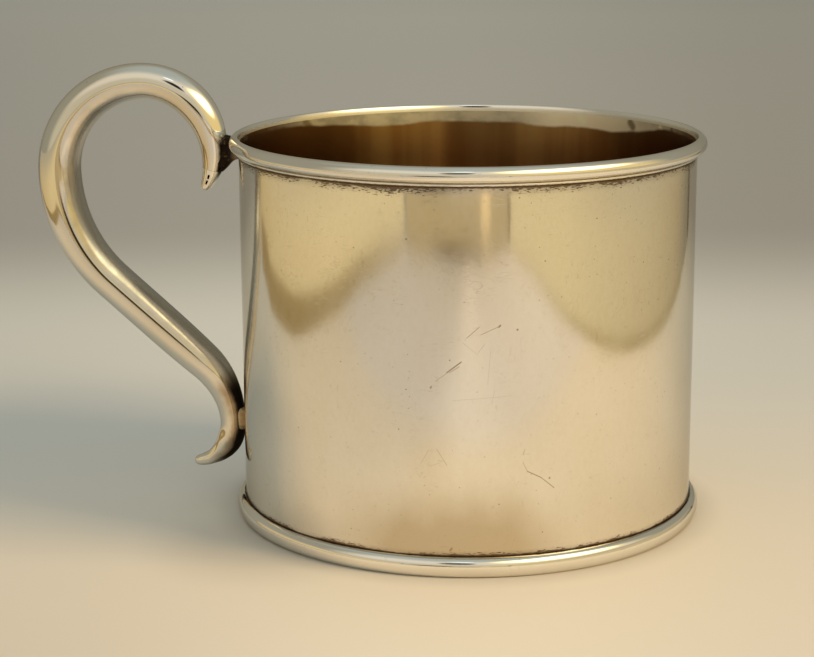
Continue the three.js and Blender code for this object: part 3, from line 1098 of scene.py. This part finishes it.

# The drum's outside: bright silver with a warm patina, a strip of painted shade low at the front,
# scratches, specks, and grime along both seams
outside = {
    "patina": 0.45,
    # frontShade is the strength of the painted shade low at the front
    "frontShade": 0.6,
    "fog": 0.16,
    "fineScratches": 0.22,
    # the lines' stretch and shift, and the stretch, shift and edge of the noise that breaks them up
    "fineLines": [((0.45, 0.45, 1.5), 2.0, 0.35, 3.0, 0.52), ((1.1, 1.1, 0.4), 5.0, 0.30, 11.0, 0.54)],
    "specks": [(0.9, 0.11, 0.45, 1.0), (0.4, 0.16, 0.7, 2.5), (0.2, 0.24, 0.5, 4.0)],
    "dirt": 0.8,
    "rimSeam": {"solid": 0.17, "reach": 1.7, "thick": 0.6},  # millimetres from the seam
    "footSeam": {"solid": 0.02, "reach": 1.0, "thick": 0.7},
    "roughness": 0.06,
    "wornRoughness": 0.07,
    "soilRoughness": 0.3,
    "peel": 2.2,  # this and the cuts are in microns
    "deepCut": -5.0,
    "fineCut": -3.5,
}


# The sheet's colour: patina in clouds, a browner strip of painted shade low at the front, and tarnish
# near the foot
def sheetColour(place, around, z, worn):
    warm = step(noise(place, (0.05, 0.05, 0.035), 4.0), 0.38, 0.72)
    fog = step(noise(place, (1.6, 1.6, 1.1), 4.0, 21.0), 0.36, 0.66)
    # the strip low at the front is painted shade, mixed in with the patina
    strip = step(abs(around + 0.5), 6.0, 0.5) * (step(z, 2.0, 9.0) * step(z, 28.0, 17.0))
    patina = largest(warm * outside["patina"], strip * outside["frontShade"]) + fog * outside["fog"]
    colour = blend(patina, tones["bright"], tones["patina"])
    low = step(worn * -6.0 + z, 13.0, 1.0)
    middle = step(abs(around - 2.5), 21.0, 5.0)
    return blend(low * (middle * 0.95 + 0.25), colour, tones["foot"])


# The deep scratches, the fine ones that come and go, and the specks
def wearMarks(place, unrolled):
    deep = largest(*[stroke(unrolled, start, end, width) * depth for start, end, width, depth in scratches])
    fine = []
    for stretch, shift, gapStretch, gapShift, gapEdge in outside["fineLines"]:
        gaps = step(noise(place, gapStretch, 1.0, gapShift), gapEdge, gapEdge + 0.10)
        fine.append(hairlines(place, stretch, 0.012, shift) * gaps)
    dots = [specks(place, *kind) for kind in outside["specks"]]
    return deep, largest(*fine) * outside["fineScratches"], largest(*dots)


# Grime at a distance from a seam: a solid line, then ragged patches that thin out with the distance,
# where ragged noise > 0.76 + 0.36 distance / reach - 0.8 dense, and a soft stain under them
def seamGrime(distance, ragged, dense, solid, reach, thick):
    line = step(dense * -thick + distance + ragged * 0.45, solid + 0.32, solid - 0.1)
    limit = distance / reach * 0.36 + 0.36 - (dense * 0.8 - 0.40)
    patches = step(ragged - limit, 0.0, 0.10)
    stain = step(distance, reach, 0.0) * (dense * 0.7)
    return largest(line, patches * 0.9, stain)


# The drum's inside: brown tarnish with soft upright streaks, painted light and shade by depth, a painted
# glint and gloom, and a paler rubbed band below the rim.
# Spots on the band: place round the drum from the front, size and tone. The bright-toned spots are
# painted glints.
inside = {
    # the glint and the gloom are painted light and shade on the tarnish
    "glint": 0.8,
    "gloom": 0.5,
    # topShare, deepGain and deepFade paint light and shade down the inside: darker just under the band,
    # bright below it, and darker again near the bottom
    "topShare": 0.62,  # the tarnish's brightness just under the band
    "deepGain": 1.05,  # what is added to it 10 mm further down
    "deepFade": -0.65,  # the share of that which is lost again near the bottom
    "bandHeight": 3.0,
    "bandNarrowing": -1.3,  # in millimetres at the sides, as the band's height is
    "bandWidening": 0.5,  # at the right of the back
    "roughness": 0.30,
    "bandRoughness": 0.16,
    "spotShare": 0.8,
    "spots": [(97.8, 1.1, "paintedGlint"), (86.9, 1.0, "smear"), (78.8, 0.7, "paintedGlint"), (75.0, 0.7, "smear"),
              (-78.9, 1.2, "smear"), (-67.3, 0.8, "smear")],
}


# Streaks along z, then darker sides, a painted amber glint and a painted gloomy strip at the back, all by
# x, and the whole times topShare + deepGain (how deep it is), which paints light and shade by depth
def tarnishAndPaintedLight(place, x, z, worn):
    streaks = step(noise(place, (0.22, 0.22, 0.012), 3.0, 4.0), 0.35, 0.65)
    colour = blend(streaks, tones["insideDark"], tones["inside"])
    colour = blend(step(worn * 6.0 + abs(x), 19.0, 31.0), colour, tones["insideBlack"])
    colour = blend(step(abs(x + 9.7), 1.7, 0.3) * inside["glint"], colour, tones["amber"])
    colour = blend(step(abs(x + 1.8), 7.5, 4.5) * inside["gloom"], colour, tones["insideBlack"])
    # painted light and shade by depth
    depthLight = step(z, 59.5, 50.5) * (step(z, 50.0, 38.0) * inside["deepFade"] + 1.0)
    return scaled(colour, depthLight * inside["deepGain"] + inside["topShare"])


# The band's share, from a smooth step of z with a ragged shift, and its colour with blotches, a painted
# glow of light at the right of the back, and spots
def rubbedBand(place, unrolled, x, z):
    low = cup["height"] / mm - inside["bandHeight"]
    ragged = noise(place, (0.12, 0.12, 0.1), 4.0, 8.0) * 1.6 - 0.8
    # a painted glow of light on the band at the right of the back
    paintedGlowPart = step(x, 2.0, 12.0) * step(x, 34.0, 20.0)
    shift = step(abs(x), 20.0, 35.0) * inside["bandNarrowing"] + paintedGlowPart * inside["bandWidening"]
    share = step(z + ragged + shift, low - 0.25, low + 0.35)
    blotches = step(noise(place, (0.3, 0.3, 0.5), 4.0, 6.0), 0.36, 0.70)
    colour = blend(blotches, tones["bandBright"], tones["band"])
    colour = blend(paintedGlowPart, colour, tones["bandPaintedGlow"])
    # the bright-toned spots are painted glints
    for at, size, tone in inside["spots"]:
        spot = stroke(unrolled, (at - 0.4, low + 0.8), (at + 0.4, low + 1.5), size)
        colour = blend(spot * inside["spotShare"], colour, tones[tone])
    return share, blend(step(abs(x), 30.0, 36.0), colour, tones["insideBlack"])


# The outside and the inside meet under the rim and the foot. around = radius atan2(x, -y) unrolls the drum.
def drumSilver():
    material, tree = newMaterial("drumSilver")
    place = fromAxis(tree)
    x, y, z = partsOf(place)
    around = x.math("ARCTAN2", y * -1.0) * (cup["drumRadius"] / mm)
    unrolled = vectorOf(tree, around, z)
    worn = noise(place, (0.16, 0.16, 0.10), 3.0, 7.0)
    underSkin = radiusOf(place).math("LESS_THAN", cup["drumRadius"] / mm - 0.13)
    isInner = largest(underSkin, z.math("GREATER_THAN", cup["rimBottom"] / mm + 0.1))
    deep, fine, dots = wearMarks(place, unrolled)
    outer = sheetColour(place, around, z, worn)
    outer = blend(largest(deep, fine, dots) * outside["dirt"], outer, tones["brown"])
    ragged = noise(place, (1.5, 1.5, 7.0), 5.0, 9.0)
    dense = noise(place, (0.11, 0.11, 0.02), 3.0, 5.0)
    fromRim = z * -1.0 + cup["rimBottom"] / mm
    fromFoot = z - cup["footHeight"] / mm
    soil = largest(seamGrime(fromRim, ragged, dense, **outside["rimSeam"]),
                   seamGrime(fromFoot, ragged, dense, **outside["footSeam"])) * inverse(isInner)
    outer = blend(soil, outer, tones["grime"])
    bandShare, band = rubbedBand(place, unrolled, x, z)
    inner = blend(bandShare, tarnishAndPaintedLight(place, x, z, worn), band)
    outerRough = worn * outside["wornRoughness"] + outside["roughness"] + soil * outside["soilRoughness"]
    innerRough = bandShare * inside["bandRoughness"] + inside["roughness"]
    roughness = addNode(tree, "Mix", {0: isInner, 2: outerRough, 3: innerRough}).outputs[0]
    peel = noise(place, (0.9, 0.9, 0.6), 2.0, 15.0) * outside["peel"]
    cuts = deep * outside["deepCut"] + fine * outside["fineCut"]
    silver(blend(isInner, outer, inner), roughness, peel + cuts)
    return material


# The mouldings: polished, with fine lines along the wire, dark dirt in the seams, and on the foot painted
# shade with dirt along the sole
wire = {
    "patina": 0.30,
    "dots": 0.6,
    "nicks": 0.25,
    "roughness": 0.065,
    "soilRoughness": 0.3,
    "lipRoughness": 0.3,
    "nickDepth": -1.5,  # microns, as the grain is
    "grain": 1.1,
}


# The grain is a noise of (x, y) / 33 + (5 radius, 5 z), so that it runs along the wire
def wireSilver(name, seamDirtAndShade):
    material, tree = newMaterial(name)
    place = fromAxis(tree)
    z = partsOf(place)[2]
    radius = radiusOf(place)
    warm = step(noise(place, 0.06, 3.0), 0.35, 0.75)
    colour = blend(warm * wire["patina"], tones["polished"], tones["patina"])
    section = vectorOf(tree, radius * 5.0, z * 5.0)
    drawn = vectorNode("MULTIPLY_ADD", place, {1: (0.03, 0.03, 0), 2: section})["Vector"]
    grain = noise(drawn, 1.0, 3.0)
    # soil is seam dirt, and on the foot also painted shade along the sole
    soil = seamDirtAndShade(radius, z, noise(place, 1.6, 3.0, 3.0))
    nicks = hairlines(place, 0.9, 0.014, 6.0) * step(noise(place, 0.5, 1.0, 9.0), 0.56, 0.66)
    dirt = largest(specks(place, 0.5, 0.12, 0.5, 2.0) * wire["dots"], nicks * wire["nicks"])
    colour = blend(dirt, colour, tones["brown"])
    colour = blend(soil, colour, tones["grime"])
    crest = cup["height"] / mm
    lipTop = step(z, crest - 0.35, crest - 0.75) * step(z, crest - 10, crest - 5)
    lip = step(radius, 36.78, 36.70) * lipTop
    colour = blend(lip, colour, tones["lip"])
    roughness = soil * wire["soilRoughness"] + wire["roughness"] + lip * wire["lipRoughness"]
    silver(colour, roughness, nicks * wire["nickDepth"] + grain * wire["grain"])
    return material


# Dirt in the groove above the bead, and in the seam under it
def rimDirt(radius, z, ragged):
    low = cup["rimBottom"] / mm
    groove = abs(z - (low + 2 * rim["beadRadius"] / mm))
    grooveLine = step(ragged * 0.12 + groove, 0.17, 0.08)
    seam = step(ragged * 0.2 + (z - low), 0.26, 0.14)
    return largest(grooveLine * 0.75, seam) * step(radius, 37.1, 36.9)


# Dirt on the ledge against the drum, and a little painted shade with dirt on the edge that stands on the
# table
def footDirtAndSoleShade(radius, z, ragged):
    ledge = step(ragged * 0.35 + radius, 36.95, 36.75) * step(z, 2.6, 2.8)
    # the low edge's darkening is painted shade and dirt together
    return largest(ledge, step(z, 1.2, 0.0) * 0.15)


# The handle is greyer on the loop's inside, warmer on the crown's inside where a painted reflection of the
# table lies, and black where the tube turns to the cup near both joints, with brown beside it at the lower
# one: tarnish with painted shade. The spans are in millimetres from the joints.
handleLook = {
    "patina": 0.12,
    "warmPatina": 0.3,
    "sidePatina": 0.4,
    "tableReflection": 0.8,
    "grey": 0.2,
    "sideGrey": 0.7,
    "lowBrown": 0.8,
    "dots": 0.7,
    "lowSpan": (9.0, 5.0),
    "highRise": (-3.5, -1.0),
    "highFall": (7.5, 5.0),
    "roughness": 0.045,
    "cloudRoughness": 0.05,
    "greyRoughness": 0.2,
    "blackRoughness": 0.35,
    "grain": 0.2,  # microns, as the peel is
    "peel": 1.6,
}


# The angle round the tube is u / (the limb's radius), 0 on the loop's inside, and t runs along it in mm
def aroundTube(tree):
    uv = addNode(tree, "UVMap", uv_map="surface").outputs[0]
    u, v = partsOf(uv)[:2]
    return u * (1 / handle["limbTube"]), v


# The colour goes by inward = cos(angle), which is 1 on the loop's inside and -1 on its outside
def handleSilver():
    look = handleLook
    material, tree = newMaterial("handleSilver")
    place = fromAxis(tree)
    angle, along = aroundTube(tree)
    t = along * (1 / mm)
    inward = angle.math("COSINE")
    rolled = vectorOf(tree, inward * 3.0, angle.math("SINE") * 3.0, t * 0.06)
    warm = step(noise(place, 0.08, 3.0, 2.0), 0.35, 0.75)
    cloud = noise(place, 0.35, 3.0, 5.0)
    crown = crownAt / mm
    leftSide = step(t, crown + 5, crown - 8)
    aged = leftSide * look["sidePatina"] + (warm * look["warmPatina"] + look["patina"])
    colour = blend(aged, tones["polished"], tones["patina"])
    # a painted reflection of the warm table below, on the crown's inside
    tableReflectionShare = step(inward, -0.1, 0.4) * step(t, crown - 6, crown + 8)
    colour = blend(tableReflectionShare * look["tableReflection"], colour, tones["tableReflectionTone"])
    grey = step(cloud * 0.4 + inward, 0.45, 1.0) * (leftSide * look["sideGrey"] + look["grey"])
    colour = blend(grey, colour, tones["grey"])
    lowSpan = step(abs(t - 0.3), *look["lowSpan"])
    fromUpper = t - upperJointAt / mm
    highSpan = step(fromUpper, *look["highRise"]) * step(fromUpper, *look["highFall"])
    # the brown on the inside near the lower joint is tarnish with painted shade
    lowBrown = lowSpan * step(cloud * 0.8 + inward, 0.1, 0.75)
    colour = blend(lowBrown * look["lowBrown"], colour, tones["brown"])
    colour = blend(specks(place, 0.45, 0.15, 0.6, 3.0) * look["dots"], colour, tones["brown"])
    # the black where the tube turns to the cup near both joints is tarnish with painted shade in the
    # crevice
    black = largest(lowSpan * step(cloud * 0.4 + inward, 0.52, 0.85),
                    highSpan * step(cloud * 0.5 - inward, 0.7, 1.0))
    colour = blend(black, colour, tones["black"])
    roughness = cloud * look["cloudRoughness"] + look["roughness"]
    roughness = roughness + black * look["blackRoughness"] + grey * look["greyRoughness"]
    grain = noise(rolled, (1.6, 1.6, 1.0), 3.0)
    silver(colour, roughness, grain * look["grain"] + noise(place, 0.5, 2.0, 8.0) * look["peel"])
    return material


# The upper cap is the handle's silver with vent slits painted black as shade, the same ones that are cut
# into its surface, and black of tarnish with painted shade on its side towards the cup
capLook = {
    "slitEdge": (0.028, 0.014),  # share of a turn to either side of the slits' line
    "blackEnd": 2.2 * mm,
    "seam": 0.5,
    "roughness": 0.07,
    "blackRoughness": 0.4,
    "peel": 1.2,
}


# A slit is a smooth step of the length from its middle times one of the turn from its line, at 3/4 turn
def capSilver():
    look = capLook
    material, tree = newMaterial("capSilver")
    place = fromAxis(tree)
    angle, along = aroundTube(tree)
    aside = abs(angle * (1 / fullTurn) - 0.75)
    halfLength = vents["length"] / 2
    cuts = [step(abs(along - (upperEndAt + where)), halfLength, halfLength - vents["endSlope"])
            for where in vents["places"]]
    # the slits are painted black as shade in the cuts
    slitShade = largest(*cuts) * step(aside, *look["slitEdge"])
    cloud = noise(place, 0.5, 3.0, 5.0)
    colour = blend(step(cloud, 0.4, 0.75), tones["polished"], tones["patina"])
    # the side towards the cup near the seam is tarnish with painted shade
    cupSideTarnishAndShade = step(cloud * 0.5 - angle.math("COSINE"), 0.8, 1.1)
    cupSideTarnishAndShade = cupSideTarnishAndShade * step(along, upperEndAt + look["blackEnd"], upperEndAt)
    seam = step(along - upperEndAt, 0.09 * mm, 0.03 * mm)
    black = largest(slitShade, cupSideTarnishAndShade, seam * look["seam"])
    colour = blend(black, colour, tones["black"])
    silver(colour, black * look["blackRoughness"] + look["roughness"], cloud * look["peel"])
    return material


# Tarnished solder: lumps of one tone in another, and a third tone close to the drum. On the bracket the
# black is tarnish with painted shade.
solderLook = {"lumps": 2.4, "lumpHeight": 40.0, "nearDrum": (39.6, 37.9), "raggedness": 1.5}


# The other tone shows where the lumps' noise is over a share, the drum's tone by radius + ragged noise
def solder(name, main, other, drumTone, share, roughness):
    material, tree = newMaterial(name)
    place = fromAxis(tree)
    lumps = noise(place, solderLook["lumps"], 4.0)
    colour = blend(step(lumps, share, share + 0.12), tones[main], tones[other])
    near = step(lumps * solderLook["raggedness"] + radiusOf(place), *solderLook["nearDrum"])
    silver(blend(near, colour, tones[drumTone]), roughness, lumps * solderLook["lumpHeight"])
    return material


# The bottom plate: worn silver in soft clouds
plateLook = {"clouds": 0.12, "roughness": 0.32, "unevenness": 1.5}


# One tone into the other by a smooth step of a noise, which also sets the height
def plateSilver():
    material, tree = newMaterial("plateSilver")
    cloud = step(noise(fromAxis(tree), plateLook["clouds"], 4.0), 0.35, 0.7)
    colour = blend(cloud, tones["plateDark"], tones["plate"])
    silver(colour, plateLook["roughness"], cloud * plateLook["unevenness"])
    return material


handleMetal = handleSilver()
looks = {
    "drumWall": drumSilver(),
    "bottomPlate": plateSilver(),
    "rimMoulding": wireSilver("rimSilver", rimDirt),
    "footMoulding": wireSilver("footSilver", footDirtAndSoleShade),
    "handleTube": handleMetal,
    "handleLowerTip": handleMetal,
    "handleUpperCap": capSilver(),
    # the bracket's black is tarnish with painted shade in the corner under the rim
    "rimBracket": solder("blackSolder", "black", "brown", "drumSolder", 0.62, 0.35),
    "lowerPeg": solder("paleSolder", "solder", "brown", "brown", 0.60, 0.3),
}
for piece in pieces:
    piece.data.materials.append(looks[piece.name])
print("materials ready:", len(looks))
buildFloor()
buildWalls()
buildCards()
buildLamp()
buildWorld()
scene = bpy.context.scene
scene.view_settings.view_transform = "Standard"
scene.cycles.glossy_bounces = 10
print("studio ready")

bpy.context.view_layer.update()
